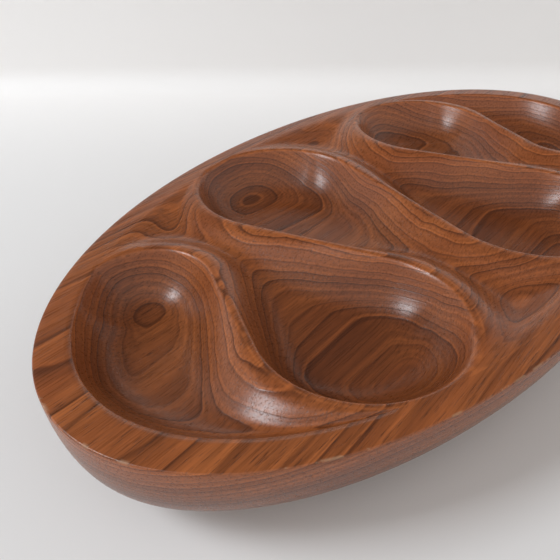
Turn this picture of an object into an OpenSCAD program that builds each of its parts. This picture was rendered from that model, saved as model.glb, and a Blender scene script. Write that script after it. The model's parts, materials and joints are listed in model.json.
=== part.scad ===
// Oval divided serving tray that turns on a ball-bearing swivel.
// +X runs along the tray's long axis, +Z is up, and the origin is on the table under the centre.
// The carving repeats after half a turn, so pockets d, e and f are pockets c, b and a turned round.

/* [Tray] */
// Length of the tray over its rim
tray_l = 480; // [400:1:576]
// Width of the tray over its rim
tray_w = 266; // [222:1:320]
// Height of the tray from its flat underside to its rim
tray_h = 42; // [36:0.5:52]
// How far the end of the tray turns under between rim and underside
end_tuck = 13; // [10:0.5:16]
// How far the long side of the tray turns under between rim and underside
side_tuck = 29; // [24:0.5:35]
// Width of the flat rim at the ends
rim_end = 17; // [14:0.5:21]
// Width of the flat rim at the middle of the long sides
rim_side = 11; // [9:0.5:14]

/* [Pockets] */
// Depth of the round bowl of each pocket
pocket_depth = 26; // [21:0.5:31]
// Depth that a pocket's floor rises to along its tail
tail_depth = 14; // [11.5:0.5:17]
// Width of the flat crest of the ridges between pockets
crest_w = 3; // [2.5:0.1:3.6]
// Distance over which a bowl's wall comes down to its floor
bowl_wall_w = 27; // [22.5:0.5:32.5]
// Distance over which the gentle side of a tail comes down to its floor
tail_wall_w = 32; // [26:0.5:39]

/* [Swivel] */
// Side of each square swivel plate
plate_w = 100; // [90:1:112]
// Thickness of the plates' sheet steel
plate_t = 1.2; // [1:0.05:1.45]
// Distance from the plate's centre lines to each corner screw
screw_offset = 42; // [37:0.5:45]
// Diameter of the steel balls
ball_d = 5; // [4.2:0.1:6]
// Radius of the circle that the balls run on
ball_circle_r = 32; // [31:0.5:35]
// Number of balls
ball_count = 24; // [18:1:28]
// Gap between a ball and its race, and between a ball and its cage
ball_gap = 0.06; // [0.03:0.01:0.09]
// Thickness of the cage that spaces the balls
cage_t = 1.2; // [1:0.1:1.6]
// Outer radius of the hollow rivet that the upper plate turns on
rivet_r = 10; // [8.5:0.5:12]
// Wall of the hollow rivet
rivet_wall = 1.2; // [1:0.1:1.5]
// Radial gap between the hollow rivet and the upper plate
rivet_gap = 0.06; // [0.03:0.01:0.09]

/* [Base] */
// Radius of the turned base
base_r = 82; // [76:1:90]
// Thickness of the turned base
base_t = 12; // [11:0.5:15]
// Radius of the round on the base's upper edge
base_round = 4; // [3:0.5:5]
// Radius of the hole that a screwdriver reaches the upper screws through
access_r = 8; // [6.5:0.5:9]
// Height of the rubber feet
foot_h = 3; // [2.5:0.1:3.6]
// Radius of the rubber feet where they meet the base
foot_r = 8; // [7:0.5:9]
// Distance from the base's edge to the middle of a foot
foot_inset = 12; // [11:0.5:14]

/* [Screws] */
// Radius of the plate screws over their thread
screw_r = 2; // [1.8:0.1:2.4]
// Length of the plate screws under their heads
screw_l = 10; // [8.4:0.5:12]
// Radius of the foot screws over their thread
foot_screw_r = 1.6; // [1.4:0.1:1.9]
// Length of the foot screws under their heads
foot_screw_l = 8; // [7:0.5:9]
// Gap round a screw where it passes through a plate or a foot
screw_gap = 0.3; // [0.2:0.05:0.4]

/* [Hidden] */
$fn = 96;

teak = [0.52, 0.27, 0.13];
base_teak = [0.45, 0.23, 0.11];
steel = [0.72, 0.72, 0.70];
brass = [0.78, 0.62, 0.33];
rubber = [0.09, 0.09, 0.09];

// Heights, from the table up
base_z = foot_h;
swivel_z = base_z + base_t;
// Steel under each ball beyond the plate's own thickness
race_skin = 0.24;
swivel_h = ball_d + 2 * (ball_gap + plate_t + race_skin);
tray_z = swivel_z + swivel_h;
rim_z = tray_z + tray_h;
ball_z = swivel_z + swivel_h / 2;

half_l = tray_l / 2;
half_w = tray_w / 2;

// ---- the carving: its depth below the rim at each place ----

// The layout is drawn on an oval of this half size and stretched to the tray
layout_half = [240, 133];
// The round ends of pockets a, b and c: x and y of the centre, and radius to the middle of the ridge
layout_left = [[-163.8, 46, 34.5], [-114.6, -48.4, 53], [-37, 67, 55.5]];
layout_right = [for (i = [2, 1, 0]) [-layout_left[i].x, -layout_left[i].y, layout_left[i].z]];
bowls = concat(layout_left, layout_right);
pockets = len(bowls);
// The steep wall of a bowl turns into the gentle wall of a tail within this distance of the long axis
wall_fade = 45;
// The floor rises from a bowl to its tail within this distance of the long axis
ramp_fade = 75;
// The higher this is, the sharper the valley where two walls meet
valley_power = 3;
// The higher this is, the steeper a bowl's wall starts under its edge
wall_power = 2.4;
// Stands for the ridge that an end pocket lacks on its outer side
no_ridge = 1000;
// The least distance from a ridge on either side of it
hair = 0.001;

function mix(a, b, t) = a + (b - a) * t;
function fade(t) = let (c = min(1, max(0, t))) c * c * (3 - 2 * c);
function xy(v) = [v.x, v.y];
function to_layout(p) = [p.x * layout_half.x / half_l, p.y * layout_half.y / half_w];

// A ridge runs round the right of one bowl, straight across between them, and round the left of the
// next bowl: [bowl, next bowl, start of the straight, its direction, its length, its normal to the right]
function ridge(a, b) =
    let (
        gap = xy(b) - xy(a),
        along = gap / norm(gap),
        side = sign(-along.y) * [-along.y, along.x],
        lean = (a.z + b.z) / norm(gap),
        right = lean * along + sqrt(1 - lean * lean) * side,
        start = xy(a) + a.z * right,
        run = xy(b) - b.z * right - start
    )
    [a, b, start, run / norm(run), norm(run), right];

ridges = [for (i = [1:pockets - 1]) ridge(bowls[i - 1], bowls[i])];

// How far v reaches towards n. Past its side, the reach comes back smoothly to v's own length,
// by the share that is given
function reach_towards(v, n, share) =
    let (length = max(norm(v), hair), c = max(-1, min(1, v * n / length)))
    length * (c + 2 * share * fade(acos(c) / 90 - 1));

// How far a place of the layout is to the right of a ridge's crest, or below zero on its left
function right_of(r, p) =
    let (t = (p - r[2]) * r[3], a = p - xy(r[0]), b = p - xy(r[1]))
    t < 0 ? norm(a) - r[0].z :
    t > r[4] ? r[1].z - norm(b) :
    (p - r[2]) * r[5] < 0 ? min(-hair, reach_towards(a, r[5], fade(1 - t / r[4])) - r[0].z) :
    max(hair, r[1].z - reach_towards(b, -r[5], fade(t / r[4])));

// How far a place is inside the inner edge of the rim
function inside_rim(p) =
    let (
        a = half_l - rim_end,
        b = half_w - rim_side,
        k = norm([p.x / a, p.y / b]),
        slope = max(norm([p.x / (a * a), p.y / (b * b)]), hair / a)
    )
    k * (1 - k) / slope;

function steep_wall(q) = 1 - pow(1 - q, wall_power);

// Depth at a place that pocket i gives
function pocket_depth_at(i, p) =
    let (
        q = to_layout(p),
        up = i % 2 == 0 ? 1 : -1,
        at_bowl = fade((up * q.y / wall_fade + 1) / 2),
        first = i == 0,
        last = i == pockets - 1,
        // A tail ends level with the outermost point of the bowl on either side of it
        in_reach = up * q.y > 0 || ((first || q.x > bowls[i - 1].x) && (last || q.x < bowls[i + 1].x)),
        gaps = [
            first ? no_ridge : right_of(ridges[i - 1], q) - crest_w / 2,
            last ? no_ridge : -right_of(ridges[i], q) - crest_w / 2,
            inside_rim(p)
        ],
        steepness = [at_bowl, at_bowl, first || last ? 1 : at_bowl]
    )
    !in_reach || min(gaps) <= hair ? 0 :
    let (
        pull = [for (k = [0:2]) pow(mix(tail_wall_w, bowl_wall_w, steepness[k]) / gaps[k], valley_power)],
        total = pull * [1, 1, 1],
        reach = min(1, pow(total, -1 / valley_power)),
        floor_depth = mix(tail_depth, pocket_depth, fade((up * q.y / ramp_fade + 1) / 2))
    )
    floor_depth * mix(fade(reach), steep_wall(reach), pull * steepness / total);

// ---- the tray's mesh: columns follow the ridges, and rows run across from ridge to ridge ----

// Cells across an end pocket and across each other pocket, cells from rim to rim, and rings down the side
end_cells = 12;
mid_cells = 9;
row_cells = 30;
side_rings = 5;
// How much columns crowd towards the ridges, and rows towards the rim
column_crowding = 0.5;
row_crowding = 0.3;
// A ridge's columns leave a bowl's circle this angle short of the circle's outermost point
pole_angle = 36;
// They take this share of the rows to reach the rim, and arrive this much further apart
cap_share = 0.03;
cap_spread = 1.2;
// No ridge comes nearer to the rim than this share of the way out
ridge_limit = 0.99;
// Angle from the long axis to the grid's corners, on the inner edge of the rim
corner_angle = 45;
// The higher this is, the sooner rows lose the curve of the rim
straightening = 4;

rim_half = [half_l - rim_end, half_w - rim_side];
last_line = 2 * pockets - 1;

function unit(angle) = [cos(angle), sin(angle)];
function flip(v, up) = [v.x, up * v.y];
function crowd(u, share) = mix(u, (1 - cos(180 * u)) / 2, share);
function on_rim(angle) = [rim_half.x * cos(angle), rim_half.y * sin(angle)];
function rim_angle(p) = atan2(p.y / rim_half.y, p.x / rim_half.x);
function from_layout(q) = [q.x * half_l / layout_half.x, q.y * half_w / layout_half.y];
function held_inside(p) = p * min(1, ridge_limit / max(hair, norm([p.x / rim_half.x, p.y / rim_half.y])));

// The place a share w of the way along a ridge, and this far to the right of its crest. It is worked out
// with the first bowl at the top, so a ridge that starts from a low bowl is flipped over and back
function ridge_point(r, edge, w) =
    let (
        up = sign(r[0].y),
        facing = atan2(up * r[5].y, r[5].x),
        bend = 90 - pole_angle - facing,
        arc_a = r[0].z * bend * PI / 180,
        arc_b = r[1].z * bend * PI / 180,
        d = w * (arc_a + r[4] + arc_b),
        q = d < arc_a ?
                flip(xy(r[0]), up) + (r[0].z + edge) * unit(90 - pole_angle - bend * d / arc_a) :
            d < arc_a + r[4] ?
                flip(r[2], up) + edge * flip(r[5], up) + (d - arc_a) * flip(r[3], up) :
                flip(xy(r[1]), up) + (r[1].z - edge) * unit(180 + facing + bend * (d - arc_a - r[4]) / arc_b)
    )
    held_inside(from_layout(flip(q, up)));

// The place on the inner edge of the rim straight above or below an end of a ridge
function cap_point(r, edge, w, up) =
    let (x = ridge_point(r, 0, w).x + cap_spread * edge)
    [x, up * rim_half.y * sqrt(1 - x * x / (rim_half.x * rim_half.x))];

// An edge of a ridge's crest, from the rim at the top (v = 0) to the rim at the bottom (v = 1)
function ridge_line(r, edge, v) =
    let (
        from_top = r[0].y > 0,
        top = from_top ? 0 : 1,
        low = 1 - top,
        t = (v - cap_share) / (1 - 2 * cap_share)
    )
    v < cap_share ? mix(cap_point(r, edge, top, 1), ridge_point(r, edge, top), v / cap_share) :
    v > 1 - cap_share ? mix(cap_point(r, edge, low, -1), ridge_point(r, edge, low), (1 - v) / cap_share) :
    ridge_point(r, edge, from_top ? t : 1 - t);

// Every line that a row crosses: the left of the rim, both edges of each crest, and the right of the rim
function lines_at(v) = concat(
    [on_rim(180 - corner_angle * (1 - 2 * v))],
    [for (r = ridges) each [ridge_line(r, -crest_w / 2, v), ridge_line(r, crest_w / 2, v)]],
    [on_rim(corner_angle * (1 - 2 * v))]
);
top_ends = lines_at(0);
low_ends = lines_at(1);

// How far the rim's curve between two of its places stands off the straight line between them
function rim_bulge(p, q, u) = on_rim(mix(rim_angle(p), rim_angle(q), u)) - mix(p, q, u);

function cells_after(i) = i % 2 == 1 ? 1 : i == 0 || i == last_line - 1 ? end_cells : mid_cells;

function row_at(v) =
    let (lines = lines_at(v))
    concat([lines[0]], [for (i = [0:last_line - 1]) let (n = cells_after(i)) for (k = [1:n])
        let (u = n == 1 ? k : crowd(k / n, column_crowding))
        mix(lines[i], lines[i + 1], u)
            + pow(1 - v, straightening) * rim_bulge(top_ends[i], top_ends[i + 1], u)
            + pow(v, straightening) * rim_bulge(low_ends[i], low_ends[i + 1], u)
    ]);

function carved(p) = [p.x, p.y, rim_z - max([for (i = [0:pockets - 1]) pocket_depth_at(i, p)])];

// The side turns under along a quarter of an ellipse, from upright at the rim to flat underneath
function tucked(p, turn) = [
    p.x * (1 - end_tuck / half_l * (1 - cos(turn))),
    p.y * (1 - side_tuck / half_w * (1 - cos(turn))),
    rim_z - tray_h * sin(turn)
];

module tray() {
    grid = [for (j = [0:row_cells]) [for (p = row_at(crowd(j / row_cells, row_crowding))) carved(p)]];
    columns = len(grid[0]);
    right = columns - 1;
    low = row_cells * columns;

    // The grid's border, clockwise from above, then the rim's outer edge and the rings down the side
    border = concat(
        [for (i = [0:right - 1]) grid[0][i]], [for (j = [0:row_cells - 1]) grid[j][right]],
        [for (i = [right:-1:1]) grid[row_cells][i]], [for (j = [row_cells:-1:1]) grid[j][0]]
    );
    border_numbers = concat(
        [for (i = [0:right - 1]) i], [for (j = [0:row_cells - 1]) j * columns + right],
        [for (i = [right:-1:1]) low + i], [for (j = [row_cells:-1:1]) j * columns]
    );
    around = len(border);
    outline = [for (p = border) [p.x * half_l / rim_half.x, p.y * half_w / rim_half.y]];
    side = [for (k = [0:side_rings]) for (p = outline) tucked(p, 90 * k / side_rings)];
    first_side = low + columns;
    under = first_side + len(side);
    function ring(k, n) = k == 0 ? border_numbers[n % around] : first_side + (k - 1) * around + n % around;

    color(teak) polyhedron(
        points = concat([for (row = grid) each row], side, [[0, 0, tray_z]]),
        faces = concat(
            [for (j = [0:row_cells - 1]) for (i = [0:right - 1])
                let (a = j * columns + i, b = a + 1, c = b + columns, d = a + columns)
                each norm(grid[j][i] - grid[j + 1][i + 1]) <= norm(grid[j][i + 1] - grid[j + 1][i]) ?
                    [[a, b, c], [a, c, d]] : [[a, b, d], [b, c, d]]],
            [for (k = [0:side_rings]) for (n = [0:around - 1]) each [
                [ring(k, n), ring(k + 1, n), ring(k + 1, n + 1)],
                [ring(k, n), ring(k + 1, n + 1), ring(k, n + 1)]
            ]],
            [for (n = [0:around - 1]) [under, ring(side_rings + 1, n + 1), ring(side_rings + 1, n)]]
        )
    );
}

// ---- what holds the swivel together ----

screw_circle_r = screw_offset * sqrt(2);
foot_circle_r = base_r - foot_inset;
// Pan heads: radius and height as multiples of the thread's radius
head_r_ratio = 2;
head_h_ratio = 0.9;
tip_ratio = 1;
thread_depth_ratio = 0.25;
thread_pitch_ratio = 0.8;
slot_w_ratio = 0.36;
slot_l_ratio = 1.2;
slot_d_ratio = 0.5;
// A head's flat top, and where its rounded edge starts, as shares of its radius and height
head_flat_ratio = 0.8;
head_edge_ratio = 0.55;
// Where a thread's valley and its crest lie within one turn
thread_valley = 0.1;
thread_crest = 0.5;
// Room past a screw's tip at the bottom of its pilot hole in the base. The upper screws cut their own
// way into the tray
pilot_room = 1;
plate_corner_r = 6;
// Room round the rivet's flange in the middle of each plate
dish_room = 4;
rivet_flange_w = 4;
rivet_flange_t = 1;
// The plates' middles are pressed inwards by this much, so that the rivet's flanges stay inside
dish_rise = 1.6;
race_lip_w = 3.4;
race_lip_rise = 1.6;
cage_half_w = 4.2;
axial_gap = 0.05;
foot_draft = 1;
// How far a foot screw's head sits up inside its foot
foot_head_sink = 0.4;
// Height of the underside of a foot screw's head
foot_head_z = foot_head_sink + foot_screw_r * head_h_ratio;
base_under_round = 2.5;

// Places turned evenly round the middle
module at_spot(r, angle) rotate(angle) translate([r, 0]) children();
module at_spots(r, first_angle) for (i = [0:3]) at_spot(r, first_angle + 90 * i) children();

// A screw pointing up, with the underside of its head at height 0
module screw(r, l) {
    core = r * (1 - thread_depth_ratio);
    pitch = r * thread_pitch_ratio;
    turns = floor((l - r * tip_ratio) / pitch);
    difference() {
        rotate_extrude() polygon(concat(
            [[0, -r * head_h_ratio], [r * head_r_ratio * head_flat_ratio, -r * head_h_ratio],
             [r * head_r_ratio, -r * head_h_ratio * head_edge_ratio], [r * head_r_ratio, 0], [core, 0]],
            [for (k = [0:turns - 1]) each [
                [core, pitch * (k + thread_valley)],
                [r, pitch * (k + thread_crest)]
            ]],
            [[core, pitch * turns], [0, l]]
        ));
        for (a = [0, 90]) rotate(a)
            translate([-r * slot_l_ratio, -r * slot_w_ratio / 2, -r * head_h_ratio - 1])
                cube([2 * r * slot_l_ratio, r * slot_w_ratio, 1 + r * slot_d_ratio]);
    }
}

module upper_screw(i)
    color(steel) at_spot(screw_circle_r, 90 * (i - 1)) translate([0, 0, tray_z - plate_t])
        screw(screw_r, screw_l);

module lower_screw(i)
    color(steel) at_spot(screw_circle_r, 90 * i - 45) translate([0, 0, swivel_z + plate_t])
        mirror([0, 0, 1]) screw(screw_r, screw_l);

module foot_screw(i)
    color(steel) at_spot(foot_circle_r, 90 * i - 45)
        translate([0, 0, foot_head_z]) screw(foot_screw_r, foot_screw_l);

module foot(i)
    color(rubber) at_spot(foot_circle_r, 90 * i - 45) difference() {
        cylinder(h = foot_h, r1 = foot_r - foot_draft, r2 = foot_r);
        translate([0, 0, -1]) cylinder(h = foot_h + 2, r = foot_screw_r + screw_gap);
        translate([0, 0, -1]) cylinder(h = 1 + foot_head_z, r = foot_screw_r * head_r_ratio + screw_gap);
    }

module base_disc()
    color(base_teak) difference() {
        translate([0, 0, base_z]) rotate_extrude() {
            translate([0, base_under_round]) square([base_r, base_t - base_under_round - base_round]);
            square([base_r - base_under_round, base_t]);
            square([base_r - base_round, base_t]);
            translate([base_r - base_round, base_t - base_round]) circle(base_round);
            translate([base_r - base_under_round, base_under_round]) circle(base_under_round);
        }
        at_spot(screw_circle_r, 0) translate([0, 0, base_z - 1]) cylinder(h = base_t + 2, r = access_r);
        at_spots(screw_circle_r, 45)
            translate([0, 0, swivel_z + plate_t - screw_l - pilot_room])
                cylinder(h = screw_l + base_t, r = screw_r);
        at_spots(foot_circle_r, 45) translate([0, 0, base_z - 1])
            cylinder(h = 1 + foot_head_z + foot_screw_l + pilot_room - foot_h, r = foot_screw_r);
    }

// ---- the swivel: both plates are alike, and the upper one is turned over and round by 45 degrees ----

// A square plate with its flat back at height 0 and its race facing up
module plate(bore_r) {
    dish_r = rivet_r + rivet_flange_w + dish_room;
    wall_r = dish_r + plate_t;
    corner = plate_w / 2 - plate_corner_r;
    difference() {
        linear_extrude(plate_t) {
            square([plate_w, 2 * corner], center = true);
            square([2 * corner, plate_w], center = true);
            for (x = [-corner, corner]) for (y = [-corner, corner]) translate([x, y]) circle(plate_corner_r);
        }
        translate([0, 0, -1]) cylinder(h = plate_t + 2, r = dish_r);
        at_spots(screw_circle_r, 45) translate([0, 0, -1]) cylinder(h = plate_t + 2, r = screw_r + screw_gap);
    }
    rotate_extrude() {
        translate([dish_r, 0]) square([wall_r - dish_r, plate_t + dish_rise]);
        translate([bore_r, dish_rise]) square([wall_r - bore_r, plate_t]);
        difference() {
            translate([ball_circle_r - race_lip_w, plate_t / 2])
                square([2 * race_lip_w, plate_t / 2 + race_lip_rise]);
            translate([ball_circle_r, swivel_h / 2]) circle(ball_d / 2 + ball_gap);
        }
    }
}

module lower_plate() color(steel) translate([0, 0, swivel_z]) plate(rivet_r);

module upper_plate()
    color(steel) translate([0, 0, tray_z]) rotate(45) mirror([0, 0, 1]) plate(rivet_r + rivet_gap);

// A hollow rivet: held in the lower plate, and free to turn in the upper plate
module centre_rivet() {
    low = swivel_z + dish_rise - rivet_flange_t;
    high = tray_z - dish_rise + axial_gap;
    color(brass) rotate_extrude() {
        translate([rivet_r - rivet_wall, low]) square([rivet_wall, high + rivet_flange_t - low]);
        translate([rivet_r - rivet_wall, low]) square([rivet_wall + rivet_flange_w, rivet_flange_t]);
        translate([rivet_r - rivet_wall, high]) square([rivet_wall + rivet_flange_w, rivet_flange_t]);
    }
}

module at_balls()
    for (i = [0:ball_count - 1])
        rotate(360 * i / ball_count) translate([ball_circle_r, 0, ball_z]) children();

module ball_cage()
    color(brass) difference() {
        translate([0, 0, ball_z - cage_t / 2]) difference() {
            cylinder(h = cage_t, r = ball_circle_r + cage_half_w);
            translate([0, 0, -1]) cylinder(h = cage_t + 2, r = ball_circle_r - cage_half_w);
        }
        at_balls() cylinder(h = cage_t + 2, r = ball_d / 2 + ball_gap, center = true);
    }

module bearing_balls() color(steel) at_balls() sphere(d = ball_d);

tray();
upper_plate();
lower_plate();
centre_rivet();
ball_cage();
bearing_balls();
base_disc();
for (i = [1:4]) {
    upper_screw(i);
    lower_screw(i);
    foot(i);
    foot_screw(i);
}
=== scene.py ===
"""Looks of an oval carved teak tray that turns on a ball-bearing swivel."""

import json
import math

import bpy
import numpy as np
from mathutils import Matrix, Vector


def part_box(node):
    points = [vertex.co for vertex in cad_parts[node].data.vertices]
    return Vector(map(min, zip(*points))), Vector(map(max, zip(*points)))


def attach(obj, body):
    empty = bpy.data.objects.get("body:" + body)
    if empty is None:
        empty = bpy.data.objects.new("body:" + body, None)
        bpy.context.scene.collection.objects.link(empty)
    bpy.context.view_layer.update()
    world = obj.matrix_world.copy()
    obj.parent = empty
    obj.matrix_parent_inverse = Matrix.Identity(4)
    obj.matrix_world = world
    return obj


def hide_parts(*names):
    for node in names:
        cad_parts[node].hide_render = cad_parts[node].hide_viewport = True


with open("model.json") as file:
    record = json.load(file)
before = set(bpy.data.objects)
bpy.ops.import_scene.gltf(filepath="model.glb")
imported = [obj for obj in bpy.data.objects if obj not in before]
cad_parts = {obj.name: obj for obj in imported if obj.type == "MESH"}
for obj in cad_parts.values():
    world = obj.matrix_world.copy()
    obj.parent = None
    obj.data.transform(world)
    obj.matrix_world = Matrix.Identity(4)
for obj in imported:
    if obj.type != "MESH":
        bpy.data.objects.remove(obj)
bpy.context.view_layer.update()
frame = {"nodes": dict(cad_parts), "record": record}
nodes = frame["nodes"]

MM = 0.001
tray_low, tray_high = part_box("tray")
HALF_L, HALF_W, RIM_Z = (value / MM for value in tray_high)
TRAY_Z = tray_low.z / MM

# ---------------------------------------------------------------- the carving, in mm

RIM_END, RIM_SIDE = 17.0, 11.0
END_TUCK, SIDE_TUCK = 13.0, 29.0
POCKET_DEPTH, TAIL_DEPTH = 26.0, 14.0
CREST_W = 3.0
BOWL_WALL_W, TAIL_WALL_W = 27.0, 32.0
WALL_FADE, RAMP_FADE = 45.0, 75.0
WALL_POWER = 2.4  # how quickly a bowl's wall levels out
VALLEY_POWER = 3.0  # how sharp the valley is where two walls meet
NO_RIDGE = 1000.0
EDGE_SOFTNESS = 0.42  # every edge is sanded a little round
HAIR = 0.001
# The round ends of the first three pockets: x, y and radius. The rest are these turned half round
BOWLS_LEFT = [(-163.8, 46.0, 34.5), (-114.6, -48.4, 53.0), (-37.0, 67.0, 55.5)]
BOWLS = BOWLS_LEFT + [(-x, -y, r) for x, y, r in reversed(BOWLS_LEFT)]


def fade(t):
    t = np.clip(t, 0, 1)
    return t * t * (3 - 2 * t)


def mix(a, b, t):
    return a + (b - a) * t


def ridge(a, b):
    """Round the right of bowl a, straight across, and round the left of bowl b."""
    centre_a, centre_b = np.array(a[:2]), np.array(b[:2])
    gap = centre_b - centre_a
    reach = np.linalg.norm(gap)
    along = gap / reach
    side = np.sign(-along[1]) * np.array([-along[1], along[0]])
    lean = (a[2] + b[2]) / reach
    right = lean * along + math.sqrt(1 - lean * lean) * side
    start = centre_a + a[2] * right
    run = centre_b - b[2] * right - start
    length = np.linalg.norm(run)
    return a, b, start, run / length, length, right


RIDGES = [ridge(a, b) for a, b in zip(BOWLS, BOWLS[1:])]


def reach_towards(vx, vy, nx, ny, share):
    length = np.maximum(np.hypot(vx, vy), HAIR)
    cosine = np.clip((vx * nx + vy * ny) / length, -1, 1)
    back = fade(np.degrees(np.arccos(cosine)) / 90 - 1)
    return length * (cosine + 2 * share * back)


def right_of(r, x, y):
    """How far a place is to the right of a ridge's crest, or below zero on its left."""
    a, b, start, way, length, normal = r
    t = (x - start[0]) * way[0] + (y - start[1]) * way[1]
    off = (x - start[0]) * normal[0] + (y - start[1]) * normal[1]
    ax, ay, bx, by = x - a[0], y - a[1], x - b[0], y - b[1]
    left = np.minimum(-HAIR, reach_towards(ax, ay, *normal, fade(1 - t / length)) - a[2])
    right = np.maximum(HAIR, b[2] - reach_towards(bx, by, *-normal, fade(t / length)))
    middle = np.where(off < 0, left, right)
    past_end = np.where(t > length, b[2] - np.hypot(bx, by), middle)
    return np.where(t < 0, np.hypot(ax, ay) - a[2], past_end)


def inside_rim(x, y):
    a, b = HALF_L - RIM_END, HALF_W - RIM_SIDE
    k = np.hypot(x / a, y / b)
    slope = np.maximum(np.hypot(x / a / a, y / b / b), HAIR / a)
    return k * (1 - k) / slope


def pocket_gaps(i, x, y):
    """Distances inside a pocket from its left ridge, its right ridge and the rim."""
    none = np.full_like(x, NO_RIDGE)
    left = right_of(RIDGES[i - 1], x, y) - CREST_W / 2 if i > 0 else none
    right = -right_of(RIDGES[i], x, y) - CREST_W / 2 if i < len(RIDGES) else none
    return [left, right, inside_rim(x, y)]


def carving(x, y):
    """Depth below the rim, and how far inside a pocket's edge the place is."""
    depth, inside = np.zeros_like(x), np.full_like(x, -NO_RIDGE)
    for i in range(len(BOWLS)):
        up = 1 if i % 2 == 0 else -1
        at_bowl = fade((up * y / WALL_FADE + 1) / 2)
        end_pocket = i in (0, len(BOWLS) - 1)
        low = BOWLS[i - 1][0] if i > 0 else -NO_RIDGE
        high = BOWLS[i + 1][0] if i + 1 < len(BOWLS) else NO_RIDGE
        in_reach = (up * y > 0) | ((x > low) & (x < high))
        gaps = pocket_gaps(i, x, y)
        least = np.minimum(np.minimum(gaps[0], gaps[1]), gaps[2])
        inside = np.maximum(inside, np.where(in_reach, least, -NO_RIDGE))
        soft = [EDGE_SOFTNESS * np.logaddexp(0, g / EDGE_SOFTNESS) + HAIR for g in gaps]
        steepness = [at_bowl, at_bowl, np.ones_like(x) if end_pocket else at_bowl]
        pull = [(mix(TAIL_WALL_W, BOWL_WALL_W, s) / g) ** VALLEY_POWER for g, s in zip(soft, steepness)]
        total = sum(pull)
        reach = np.minimum(1, total ** (-1 / VALLEY_POWER))
        steep = sum(p * s for p, s in zip(pull, steepness)) / total
        floor = mix(TAIL_DEPTH, POCKET_DEPTH, fade((up * y / RAMP_FADE + 1) / 2))
        profile = mix(fade(reach), 1 - (1 - reach) ** WALL_POWER, steep)
        depth = np.maximum(depth, np.where(in_reach, floor * profile, 0))
    return depth, inside


# ---------------------------------------------------------------- meshes


def mesh_object(name, points, faces):
    mesh = bpy.data.meshes.new(name)
    mesh.from_pydata([tuple(p) for p in points], [], [tuple(f) for f in faces])
    mesh.update()
    mesh.shade_smooth()
    piece = bpy.data.objects.new(name, mesh)
    bpy.context.scene.collection.objects.link(piece)
    return piece


# The tray's mesh: columns follow the ridges, and rows run across from ridge to ridge
ROWS, END_CELLS, MID_CELLS, CREST_CELLS = 150, 62, 54, 3
BAND_RINGS, SIDE_RINGS = 5, 22
COLUMN_CROWDING, ROW_CROWDING, STRAIGHTENING = 0.5, 0.25, 4
POLE_ANGLE, CORNER_ANGLE = math.radians(36), math.radians(45)
CAP_SHARE, CAP_SPREAD, RIDGE_LIMIT = 0.03, 1.2, 0.99
RIM_EDGE_R = 0.7  # the rim's outer edge is rounded this much
RIM_HALF = np.array([HALF_L - RIM_END, HALF_W - RIM_SIDE])


def crowd(u, share):
    return mix(u, (1 - np.cos(math.pi * u)) / 2, share)


def on_rim(angle):
    return np.stack([RIM_HALF[0] * np.cos(angle), RIM_HALF[1] * np.sin(angle)], -1)


def rim_angle(p):
    return math.atan2(p[1] / RIM_HALF[1], p[0] / RIM_HALF[0])


def ridge_points(r, edge, w):
    """Places the shares w of the way along a ridge, this far to the right of its crest."""
    up = np.array([1, np.sign(r[0][1])])
    centre_a, centre_b = np.array(r[0][:2]) * up, np.array(r[1][:2]) * up
    start, way, right = r[2] * up, r[3] * up, r[5] * up
    facing = math.atan2(right[1], right[0])
    bend = math.pi / 2 - POLE_ANGLE - facing
    arc_a, arc_b = r[0][2] * bend, r[1][2] * bend
    d = (w * (arc_a + r[4] + arc_b))[:, None]
    turn_a = math.pi / 2 - POLE_ANGLE - bend * d / arc_a
    turn_b = math.pi + facing + bend * (d - arc_a - r[4]) / arc_b
    round_a = centre_a + (r[0][2] + edge) * np.hstack([np.cos(turn_a), np.sin(turn_a)])
    round_b = centre_b + (r[1][2] - edge) * np.hstack([np.cos(turn_b), np.sin(turn_b)])
    straight = start + edge * right + (d - arc_a) * way
    places = np.where(d < arc_a, round_a, np.where(d < arc_a + r[4], straight, round_b)) * up
    share = np.linalg.norm(places / RIM_HALF, axis=1)
    return places * np.minimum(1, RIDGE_LIMIT / share)[:, None]


def ridge_line(r, edge, v):
    """An edge of a ridge's crest, from the rim at the top (v = 0) to the rim at the bottom (v = 1)."""
    t = np.clip((v - CAP_SHARE) / (1 - 2 * CAP_SHARE), 0, 1)
    w = t if r[0][1] > 0 else 1 - t
    line, middle = ridge_points(r, edge, w), ridge_points(r, 0, w)
    for row, side, share in ((0, 1, v / CAP_SHARE), (-1, -1, (1 - v) / CAP_SHARE)):
        x = middle[row, 0] + CAP_SPREAD * edge
        cap = np.array([x, side * RIM_HALF[1] * math.sqrt(1 - (x / RIM_HALF[0]) ** 2)])
        share = share[:, None]
        line = np.where(share < 1, mix(cap, line[row], share), line)
    return line


def rim_bulge(p, q, u):
    """How far the rim's curve between two of its places stands off the straight line between them."""
    return on_rim(mix(rim_angle(p), rim_angle(q), u)) - mix(p, q, u[:, None])


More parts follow.
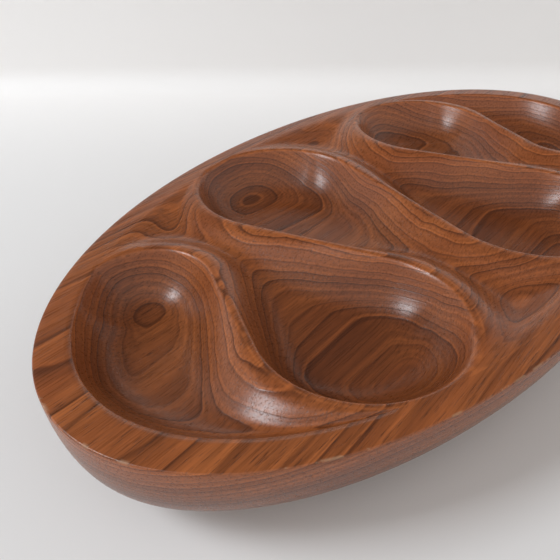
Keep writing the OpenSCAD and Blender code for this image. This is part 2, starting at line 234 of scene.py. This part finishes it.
def tray_plan():
    v = crowd(np.linspace(0, 1, ROWS + 1), ROW_CROWDING)
    corners = CORNER_ANGLE * (1 - 2 * v)
    lines = [on_rim(math.pi - corners)]
    for r in RIDGES:
        lines += [ridge_line(r, -CREST_W / 2, v), ridge_line(r, CREST_W / 2, v)]
    lines.append(on_rim(corners))
    high, low = ((1 - v) ** STRAIGHTENING)[:, None, None], (v**STRAIGHTENING)[:, None, None]
    blocks = [lines[0][:, None]]
    for i, (a, b) in enumerate(zip(lines, lines[1:])):
        cells = CREST_CELLS if i % 2 else END_CELLS if i in (0, len(lines) - 2) else MID_CELLS
        u = np.linspace(0, 1, cells + 1)[1:]
        u = u if i % 2 else crowd(u, COLUMN_CROWDING)
        block = mix(a[:, None], b[:, None], u[:, None])
        blocks.append(block + high * rim_bulge(a[0], b[0], u) + low * rim_bulge(a[-1], b[-1], u))
    return np.concatenate(blocks, 1)


def side_rings(border):
    """Rings over the flat rim, round its outer edge, and down the side, which turns under."""
    outer = border * np.array([HALF_L, HALF_W]) / RIM_HALF
    width = np.linalg.norm(outer - border, axis=1)[:, None]
    for k in range(1, BAND_RINGS + 1):
        ring = mix(border, outer, (1 - RIM_EDGE_R / width) * k / BAND_RINGS)
        yield np.column_stack([ring, np.full(len(ring), RIM_Z)])
    for turn in np.radians([30, 60, 90]):
        ring = mix(border, outer, 1 - RIM_EDGE_R / width * (1 - math.sin(turn)))
        yield np.column_stack([ring, np.full(len(ring), RIM_Z - RIM_EDGE_R * (1 - math.cos(turn)))])
    ends = np.array([END_TUCK / HALF_L, SIDE_TUCK / HALF_W])
    start = math.asin(RIM_EDGE_R / (RIM_Z - TRAY_Z))
    for k in range(1, SIDE_RINGS + 1):
        turn = mix(start, math.pi / 2, k / SIDE_RINGS)
        ring = outer * (1 - ends * (1 - math.cos(turn)))
        yield np.column_stack([ring, np.full(len(ring), RIM_Z - (RIM_Z - TRAY_Z) * math.sin(turn))])


def tray_mesh():
    plan = tray_plan()
    depth, inside = carving(plan[..., 0], plan[..., 1])
    top = np.concatenate([plan, (RIM_Z - depth)[..., None]], -1)
    index = np.arange(depth.size).reshape(depth.shape)
    quads = np.stack([index[1:, :-1], index[1:, 1:], index[:-1, 1:], index[:-1, :-1]], -1).reshape(-1, 4)
    border = np.concatenate([index[0, :-1], index[:-1, -1], index[-1, :0:-1], index[:0:-1, 0]])
    points, faces, count, last = [top.reshape(-1, 3)], [quads], depth.size, border
    points[0][border, 2] = RIM_Z
    for ring in side_rings(points[0][border, :2]):
        numbers = count + np.arange(len(ring))
        faces.append(np.stack([last, np.roll(last, -1), np.roll(numbers, -1), numbers], -1))
        points.append(ring)
        count += len(ring)
        last = numbers
    all_faces = [*np.concatenate(faces).tolist(), last.tolist()]
    piece = mesh_object("carved_tray", np.concatenate(points) * MM, all_faces)
    edge_gap = np.full(count, -NO_RIDGE)
    edge_gap[: depth.size] = inside.reshape(-1)
    rings = np.concatenate(points[1:])
    inwards = HALF_W * (1 - np.hypot(rings[:, 0] / HALF_L, rings[:, 1] / HALF_W))
    rim_gap = np.concatenate([np.full(depth.size, NO_RIDGE), RIM_Z - rings[:, 2] + inwards])
    for name, values in (("edge_gap", edge_gap), ("rim_gap", rim_gap)):
        attribute = piece.data.attributes.new(name, "FLOAT", "POINT")
        attribute.data.foreach_set("value", values.astype(np.float32))
    return piece


# ---------------------------------------------------------------- materials


# Mm from the pith to the board, how far its rings wander and ripple, and the step from board to board
PITH_RADIUS = 323.0
WANDER_MM, RIPPLE_MM = 20.0, 3.2
BOARD_STEP = (131.0, 57.0, 23.0)


class Graph:
    """A short way to write a material's nodes."""

    def __init__(self, name):
        self.material = bpy.data.materials.new(name)
        self.material.use_nodes = True
        self.tree = self.material.node_tree
        self.shader = self.tree.nodes["Principled BSDF"]

    def put(self, socket, value):
        if isinstance(value, bpy.types.NodeSocket):
            self.tree.links.new(value, socket)
        else:
            socket.default_value = value

    def node(self, kind, inputs=(), out=0, **settings):
        made = self.tree.nodes.new(kind)
        for key, value in settings.items():
            setattr(made, key, value)
        for key, value in dict(inputs).items():
            self.put(made.inputs[key], value)
        return made.outputs[out]

    def math(self, operation, a, b=0.0, c=0.0):
        return self.node("ShaderNodeMath", {0: a, 1: b, 2: c}, operation=operation)

    def add(self, a, b):
        return self.math("ADD", a, b)

    def mul(self, a, b):
        return self.math("MULTIPLY", a, b)

    def step(self, value, low, high, to_low=0.0, to_high=1.0):
        return self.node(
            "ShaderNodeMapRange",
            {"Value": value, "From Min": low, "From Max": high, "To Min": to_low, "To Max": to_high},
            interpolation_type="SMOOTHSTEP",
        )

    def mix(self, share, a, b, blend="MIX"):
        made = self.tree.nodes.new("ShaderNodeMix")
        made.data_type = "RGBA"
        made.blend_type = blend
        for socket, value in zip((made.inputs[0], made.inputs[6], made.inputs[7]), (share, a, b)):
            self.put(socket, value)
        return made.outputs[2]

    def shaded(self, colour, shade):
        grey = self.node("ShaderNodeCombineColor", {0: shade, 1: shade, 2: shade})
        return self.mix(1.0, colour, grey, "MULTIPLY")

    def stretched(self, vector, scale):
        return self.node("ShaderNodeVectorMath", {0: vector, 1: scale}, operation="MULTIPLY")

    def noise(self, vector, scale=1.0, detail=2.0, roughness=0.5):
        inputs = {"Vector": vector, "Scale": scale, "Detail": detail, "Roughness": roughness}
        return self.node("ShaderNodeTexNoise", inputs)

    def noise_at(self, value, scale=1.0, detail=0.0):
        inputs = {"W": value, "Scale": scale, "Detail": detail}
        return self.node("ShaderNodeTexNoise", inputs, noise_dimensions="1D")

    def attribute(self, name):
        return self.node("ShaderNodeAttribute", attribute_name=name, out="Fac")

    def bump(self, height, strength, distance, normal=None):
        inputs = {"Height": height, "Strength": strength, "Distance": distance}
        if normal is not None:
            inputs["Normal"] = normal
        return self.node("ShaderNodeBump", inputs)

    def finish(self, **sockets):
        for key, value in sockets.items():
            self.put(self.shader.inputs[key.replace("_", " ")], value)
        return self.material


def teak(name, rim_height, ring_gap, light, mid, dark, seed, worn=False):
    """Oiled teak as solid wood: rings round a pith far above the board, running along X."""
    g = Graph(name)
    place = g.node("ShaderNodeTexCoord", out="Object")
    mm = g.stretched(place, (1 / MM,) * 3)
    offset = tuple(seed * step for step in BOARD_STEP)
    shifted = g.node("ShaderNodeVectorMath", {0: mm, 1: offset}, operation="ADD")
    xyz = g.tree.nodes.new("ShaderNodeSeparateXYZ")
    g.put(xyz.inputs[0], mm)
    _, y, z = xyz.outputs

    # The level that a point has among the growth rings, in mm: its height, curved round the pith and bent
    curve = g.mul(g.mul(y, y), -0.5 / PITH_RADIUS)
    wander = g.noise(g.stretched(shifted, (0.0026, 0.012, 0.012)), detail=1.0)
    ripple = g.noise(g.stretched(shifted, (0.009, 0.045, 0.045)), detail=2.0)
    level = g.add(g.math("SUBTRACT", z, rim_height), curve)
    level = g.add(level, g.mul(g.math("SUBTRACT", wander, 0.5), WANDER_MM))
    level = g.add(level, g.mul(g.math("SUBTRACT", ripple, 0.5), RIPPLE_MM))
    band = g.step(g.noise_at(level, 0.13, 1.0), 0.36, 0.64)
    rings = g.add(g.mul(level, 1.0 / ring_gap), g.mul(g.noise_at(level, 0.11), 2.2))
    phase = g.math("FRACT", rings)
    strength = g.step(g.noise_at(g.math("FLOOR", rings), 3.7), 0.32, 0.66, 0.15, 1.0)

    late = g.mul(g.step(phase, 0.1, 0.9), g.step(phase, 0.93, 1.0, 1.0, 0.0))
    line = g.mul(g.step(phase, 0.72, 0.9), g.step(phase, 0.92, 0.99, 1.0, 0.0))
    glow = g.step(phase, 0.0, 0.2, 1.0, 0.0)
    fine = g.noise_at(level, 1.1, 2.0)
    fibre = g.noise(g.stretched(shifted, (0.03, 0.9, 0.9)), detail=4.0, roughness=0.7)
    cloud = g.noise(g.stretched(shifted, (0.008, 0.022, 0.022)), detail=2.0)
    pores = g.noise(g.stretched(shifted, (0.11, 1.7, 1.7)), detail=2.0, roughness=0.55)
    pore = g.mul(g.step(pores, 0.58, 0.68), g.step(cloud, 0.35, 0.6, 0.35, 1.0))

    colour = g.mix(g.step(cloud, 0.3, 0.7), (*mid, 1), (*light, 1))
    colour = g.mix(g.mul(band, 0.34), colour, (*dark, 1))
    colour = g.mix(g.mul(g.mul(late, strength), 0.42), colour, (*dark, 1))
    colour = g.mix(g.mul(g.mul(line, strength), 0.52), colour, (*(c * 0.5 for c in dark), 1))
    colour = g.mix(g.mul(g.mul(glow, strength), 0.2), colour, (*(min(1, c * 1.5) for c in light), 1))
    for value, low, high in ((fine, 0.84, 1.14), (fibre, 0.72, 1.24)):
        shade = g.step(value, 0.25, 0.75, low, high)
        colour = g.shaded(colour, shade)
    colour = g.mix(g.mul(pore, 0.6), colour, (*(c * 0.35 for c in dark), 1))
    # Painted shade: the wood is made darker the deeper it lies below the rim, inside the pockets
    painted_pocket_shade = g.step(g.math("SUBTRACT", rim_height, z), 4.0, 20.0, 1.0, 0.74)
    colour = g.shaded(colour, painted_pocket_shade)

    rough = g.step(fibre, 0.2, 0.8, 0.24, 0.35)
    height = g.math("SUBTRACT", g.mul(fibre, 0.5), g.add(g.mul(pore, 0.6), g.mul(line, 0.4)))
    if worn:
        edge = g.attribute("edge_gap")
        rim = g.attribute("rim_gap")
        rub = g.noise(shifted, 0.16, 3.0, 0.6)
        along_edge = g.mul(g.step(g.math("ABSOLUTE", edge), 0.0, 1.2, 1.0, 0.0), g.step(rub, 0.3, 0.7))
        colour = g.mix(g.mul(along_edge, 0.4), colour, (*(min(1, c * 1.5) for c in light), 1))
        chip = g.mul(g.step(rim, 0.2, 1.0, 1.0, 0.0), g.step(g.noise(shifted, 0.09, 4.0, 0.7), 0.55, 0.62))
        colour = g.mix(g.mul(chip, 0.4), colour, (0.50, 0.33, 0.20, 1))
        rough = g.add(rough, g.mul(chip, 0.2))
    normal = g.bump(height, 0.3, 0.0003)
    return g.finish(Base_Color=colour, Roughness=rough, Normal=normal, IOR=1.5)


def zinc_steel(name, tint, roughness, scratch):
    """Bright zinc on pressed steel: faint spangle, rolling lines and dull patches."""
    g = Graph(name)
    mm = g.stretched(g.node("ShaderNodeTexCoord", out="Object"), (1 / MM,) * 3)
    spangle = g.node("ShaderNodeTexVoronoi", {"Vector": mm, "Scale": 0.35}, out="Color")
    lines = g.noise(g.stretched(mm, (0.12, 2.4, 2.4)), detail=3.0)
    dull = g.noise(mm, 0.06, 3.0)
    shade = g.step(lines, 0.3, 0.7, 0.86, 1.04)
    colour = g.mix(g.step(dull, 0.35, 0.7), (*tint, 1), (*(c * 0.8 for c in tint), 1))
    colour = g.shaded(colour, shade)
    colour = g.mix(0.06, colour, spangle, "SOFT_LIGHT")
    rough = g.step(dull, 0.3, 0.75, roughness, roughness + 0.16)
    return g.finish(Base_Color=colour, Metallic=1.0, Roughness=rough, Normal=g.bump(lines, scratch, 0.0001))


def moulded_rubber(name):
    g = Graph(name)
    mm = g.stretched(g.node("ShaderNodeTexCoord", out="Object"), (1 / MM,) * 3)
    grit = g.noise(mm, 1.6, 3.0, 0.7)
    dust = g.noise(mm, 0.2, 4.0)
    colour = g.mix(g.step(dust, 0.45, 0.75), (0.016, 0.016, 0.017, 1), (0.05, 0.047, 0.044, 1))
    rough = g.step(grit, 0.3, 0.7, 0.62, 0.8)
    return g.finish(Base_Color=colour, Roughness=rough, Normal=g.bump(grit, 0.4, 0.0002))


BASE_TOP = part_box("base_disc")[1].z / MM
TRAY_COLOURS = (0.38, 0.112, 0.030), (0.27, 0.071, 0.018), (0.10, 0.024, 0.007)
BASE_COLOURS = (0.30, 0.105, 0.04), (0.21, 0.068, 0.025), (0.075, 0.022, 0.010)
TRAY_TEAK = teak("tray_teak", RIM_Z, 2.9, *TRAY_COLOURS, seed=1, worn=True)
BASE_TEAK = teak("base_teak", BASE_TOP, 3.4, *BASE_COLOURS, seed=4)
PLATE_STEEL = zinc_steel("plate_zinc", (0.62, 0.62, 0.60), 0.3, 0.12)
SCREW_STEEL = zinc_steel("screw_zinc", (0.66, 0.64, 0.58), 0.24, 0.05)
BALL_STEEL = zinc_steel("ball_polish", (0.72, 0.72, 0.73), 0.08, 0.01)
CAGE_BRASS = zinc_steel("cage_brass", (0.72, 0.50, 0.21), 0.28, 0.08)
RUBBER = moulded_rubber("foot_rubber")
LOOKS = {
    "base_teak": BASE_TEAK,
    "plate_steel": PLATE_STEEL,
    "screw_steel": SCREW_STEEL,
    "ball_steel": BALL_STEEL,
    "cage_brass": CAGE_BRASS,
    "foot_rubber": RUBBER,
}


def wear(piece, material):
    piece.data.materials.clear()
    piece.data.materials.append(material)


# ---------------------------------------------------------------- the object

tray = tray_mesh()
wear(tray, TRAY_TEAK)
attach(tray, "turntable")
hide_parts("tray")

for part in frame["record"]["subparts"]:
    if part["material_slot"] in LOOKS:
        wear(nodes[part["node"]], LOOKS[part["material_slot"]])

# ---------------------------------------------------------------- stage, light and camera


# The table runs back to a pale wall behind the tray, which glows a little: painted light, an emission that
# stands in for the room's light on the wall and the back of the table
WALL_WAY = Vector((0.751, 0.660, 0))
WALL_GAP, WALL_ROUND, STAGE_HALF, WALL_TOP = 0.415, 0.03, 3.0, 0.3
WALL_PAINTED_LIGHT, PAINTED_LIGHT_START = 0.04, 0.1


def stage_material(name, colour, roughness):
    g = Graph(name)
    mottled = g.noise(g.node("ShaderNodeTexCoord", out="Object"), 3.0, 3.0)
    tint = g.mix(mottled, (*colour, 1), (*(c * 0.97 for c in colour), 1))
    place = g.node("ShaderNodeTexCoord", out="Object")
    inputs = {0: place, 1: tuple(WALL_WAY)}
    back = g.node("ShaderNodeVectorMath", inputs, out="Value", operation="DOT_PRODUCT")
    # Painted light: emission that brightens the table towards the wall, and the wall itself
    glow = g.step(back, PAINTED_LIGHT_START, WALL_GAP, 0.0, WALL_PAINTED_LIGHT)
    return g.finish(Base_Color=tint, Roughness=roughness, Emission_Color=tint, Emission_Strength=glow)


def sweep():
    """Table and wall as one sheet: its profile runs towards the wall and up."""
    turns = np.radians(np.linspace(0, 90, 9))
    profile = [(-STAGE_HALF, 0)]
    profile += [(WALL_GAP - WALL_ROUND * (1 - math.sin(t)), WALL_ROUND * (1 - math.cos(t))) for t in turns]
    profile.append((WALL_GAP, WALL_TOP))
    along = Vector((-WALL_WAY.y, WALL_WAY.x, 0))
    sides = STAGE_HALF, -STAGE_HALF
    points = [WALL_WAY * d + along * s + Vector((0, 0, h)) for d, h in profile for s in sides]
    faces = [(i, i + 1, i + 3, i + 2) for i in range(0, len(points) - 2, 2)]
    return mesh_object("table_and_wall", points, faces)


table = sweep()
wear(table, stage_material("matt_paint_with_painted_light", (0.85, 0.83, 0.815), 0.6))


def aim(place, target):
    return (Vector(target) - Vector(place)).to_track_quat("-Z", "Y")


def lamp(name, azimuth, elevation, distance, width, height, watts, colour):
    """A soft box that looks at the tray from a compass direction, counted from +X to +Y."""
    a, e = math.radians(azimuth), math.radians(elevation)
    target = Vector((0, 0, RIM_Z * MM))
    place = target + distance * Vector((math.cos(e) * math.cos(a), math.cos(e) * math.sin(a), math.sin(e)))
    data = bpy.data.lights.new(name, "AREA")
    data.shape = "RECTANGLE"
    data.size, data.size_y = width, height
    data.energy = watts
    data.color = colour
    light = bpy.data.objects.new(name, data)
    light.location = place
    light.rotation_mode = "QUATERNION"
    light.rotation_quaternion = aim(place, target)
    bpy.context.scene.collection.objects.link(light)


lamp("window", 146, 44, 2.5, 0.8, 0.8, 32.0, (0.88, 0.94, 1.0))

# The room is pale all round but for a dim part above the wall, which the level wood mirrors
world = bpy.data.worlds.new("room")
bpy.context.scene.world = world
world.use_nodes = True
DIM_WAY = (0.40, 0.48, 0.78)
ROOM_LIGHT, DIM_LIGHT = 0.70, 0.14
# Cosines of the angles from its middle where the dim part starts to fade in, and where it is full
DIM_EDGE, DIM_CORE = 0.55, 0.88
nodes_of_room, links = world.node_tree.nodes, world.node_tree.links
way = nodes_of_room.new("ShaderNodeTexCoord")
facing = nodes_of_room.new("ShaderNodeVectorMath")
facing.operation = "DOT_PRODUCT"
facing.inputs[1].default_value = DIM_WAY
dim = nodes_of_room.new("ShaderNodeMapRange")
dim.interpolation_type = "SMOOTHSTEP"
fading = {"From Min": DIM_EDGE, "From Max": DIM_CORE, "To Min": ROOM_LIGHT, "To Max": DIM_LIGHT}
for socket, value in fading.items():
    dim.inputs[socket].default_value = value
room = nodes_of_room["Background"]
room.inputs["Color"].default_value = (1.0, 0.985, 0.97, 1)
links.new(way.outputs["Generated"], facing.inputs[0])
links.new(facing.outputs["Value"], dim.inputs["Value"])
links.new(dim.outputs["Result"], room.inputs["Strength"])

# The camera stands close to the tray's left front and looks down along it
CAMERA_PLACE = Vector((-286.8, -150.8, RIM_Z + 167.8)) * MM
CAMERA_RIGHT = Vector((0.65527, -0.75534, -0.00915))
CAMERA_UP = Vector((0.45545, 0.38540, 0.80255))
camera_data = bpy.data.cameras.new("camera")
camera_data.sensor_width = 36.0
camera_data.lens = 36.06
camera_data.clip_start = 0.01
camera = bpy.data.objects.new("camera", camera_data)
right = CAMERA_RIGHT.normalized()
back = right.cross(CAMERA_UP).normalized()
upward = back.cross(right)
camera.matrix_world = Matrix.Translation(CAMERA_PLACE) @ Matrix((right, upward, back)).transposed().to_4x4()
bpy.context.scene.collection.objects.link(camera)
bpy.context.scene.camera = camera
bpy.context.scene.view_settings.view_transform = "Standard"
